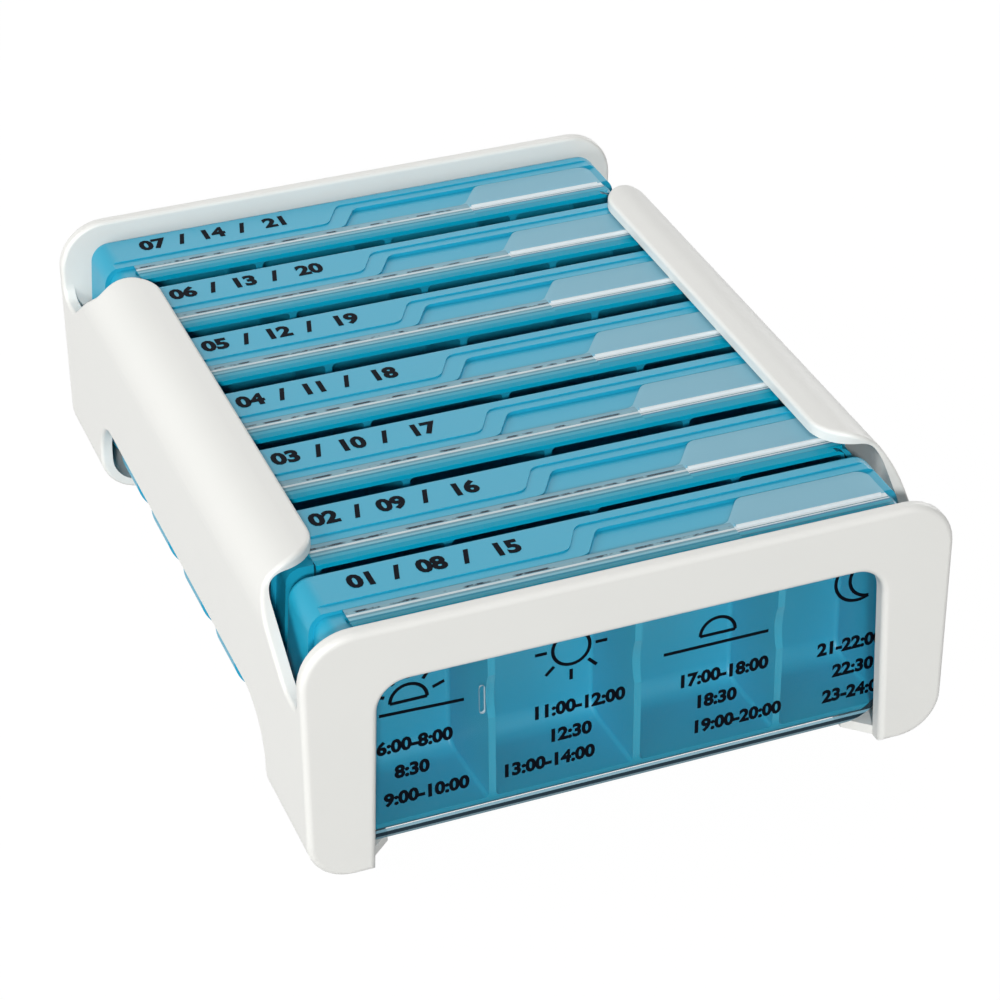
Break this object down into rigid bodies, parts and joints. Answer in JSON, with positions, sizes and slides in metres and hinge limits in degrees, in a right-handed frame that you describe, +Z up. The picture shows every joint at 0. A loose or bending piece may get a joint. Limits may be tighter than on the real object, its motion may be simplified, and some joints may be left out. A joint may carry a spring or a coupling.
{
  "type": "pill organizer",
  "caption": "Weekly pill organizer: open white rack that holds day boxes on edge, each with four compartments behind a clear cover that slides sideways.",
  "frame": {"origin": "centre of the footprint, on the table", "axes": "+Z up, front plate towards -Y, covers slide towards +X"},
  "size_m": [0.126, 0.165, 0.0523],
  "materials": {
    "rack_white": "fine satin",
    "tray_blue": "satin",
    "cover_clear": "clear and glossy, with a frosted thumb tab"
  },
  "bodies": {
    "rack": {"rack": "rack_white"},
    "day_tray_1": {"day_tray_1": "tray_blue"},
    "sliding_cover_1": {"sliding_cover_1": "cover_clear"},
    "day_tray_2": {"day_tray_2": "tray_blue"},
    "sliding_cover_2": {"sliding_cover_2": "cover_clear"},
    "day_tray_3": {"day_tray_3": "tray_blue"},
    "sliding_cover_3": {"sliding_cover_3": "cover_clear"},
    "day_tray_4": {"day_tray_4": "tray_blue"},
    "sliding_cover_4": {"sliding_cover_4": "cover_clear"},
    "day_tray_5": {"day_tray_5": "tray_blue"},
    "sliding_cover_5": {"sliding_cover_5": "cover_clear"},
    "day_tray_6": {"day_tray_6": "tray_blue"},
    "sliding_cover_6": {"sliding_cover_6": "cover_clear"},
    "day_tray_7": {"day_tray_7": "tray_blue"},
    "sliding_cover_7": {"sliding_cover_7": "cover_clear"}
  },
  "joints": [
    {"name": "box_1_lift", "type": "slide", "parent": "rack", "child": "day_tray_1", "axis": [0, 0, 1], "range_m": [0, 0.06]},
    {"name": "cover_1_slide", "type": "slide", "parent": "day_tray_1", "child": "sliding_cover_1", "axis": [1, 0, 0], "range_m": [0, 0.0045]},
    {"name": "box_2_shift", "type": "slide", "parent": "rack", "child": "day_tray_2", "axis": [0, 1, 0], "range_m": [-0.0009, 0.002]},
    {"name": "cover_2_slide", "type": "slide", "parent": "day_tray_2", "child": "sliding_cover_2", "axis": [1, 0, 0], "range_m": [0, 0.0045]},
    {"name": "box_3_shift", "type": "slide", "parent": "rack", "child": "day_tray_3", "axis": [0, 1, 0], "range_m": [-0.002, 0.0018]},
    {"name": "cover_3_slide", "type": "slide", "parent": "day_tray_3", "child": "sliding_cover_3", "axis": [1, 0, 0], "range_m": [0, 0.0045]},
    {"name": "box_4_shift", "type": "slide", "parent": "rack", "child": "day_tray_4", "axis": [0, 1, 0], "range_m": [-0.0018, 0.0028]},
    {"name": "cover_4_slide", "type": "slide", "parent": "day_tray_4", "child": "sliding_cover_4", "axis": [1, 0, 0], "range_m": [0, 0.0045]},
    {"name": "box_5_shift", "type": "slide", "parent": "rack", "child": "day_tray_5", "axis": [0, 1, 0], "range_m": [-0.0028, 0.0024]},
    {"name": "cover_5_slide", "type": "slide", "parent": "day_tray_5", "child": "sliding_cover_5", "axis": [1, 0, 0], "range_m": [0, 0.0045]},
    {"name": "box_6_shift", "type": "slide", "parent": "rack", "child": "day_tray_6", "axis": [0, 1, 0], "range_m": [-0.0024, 0.0023]},
    {"name": "cover_6_slide", "type": "slide", "parent": "day_tray_6", "child": "sliding_cover_6", "axis": [1, 0, 0], "range_m": [0, 0.0045]},
    {"name": "box_7_lift", "type": "slide", "parent": "rack", "child": "day_tray_7", "axis": [0, 0, 1], "range_m": [0, 0.06]},
    {"name": "cover_7_slide", "type": "slide", "parent": "day_tray_7", "child": "sliding_cover_7", "axis": [1, 0, 0], "range_m": [0, 0.0045]}
  ]
}
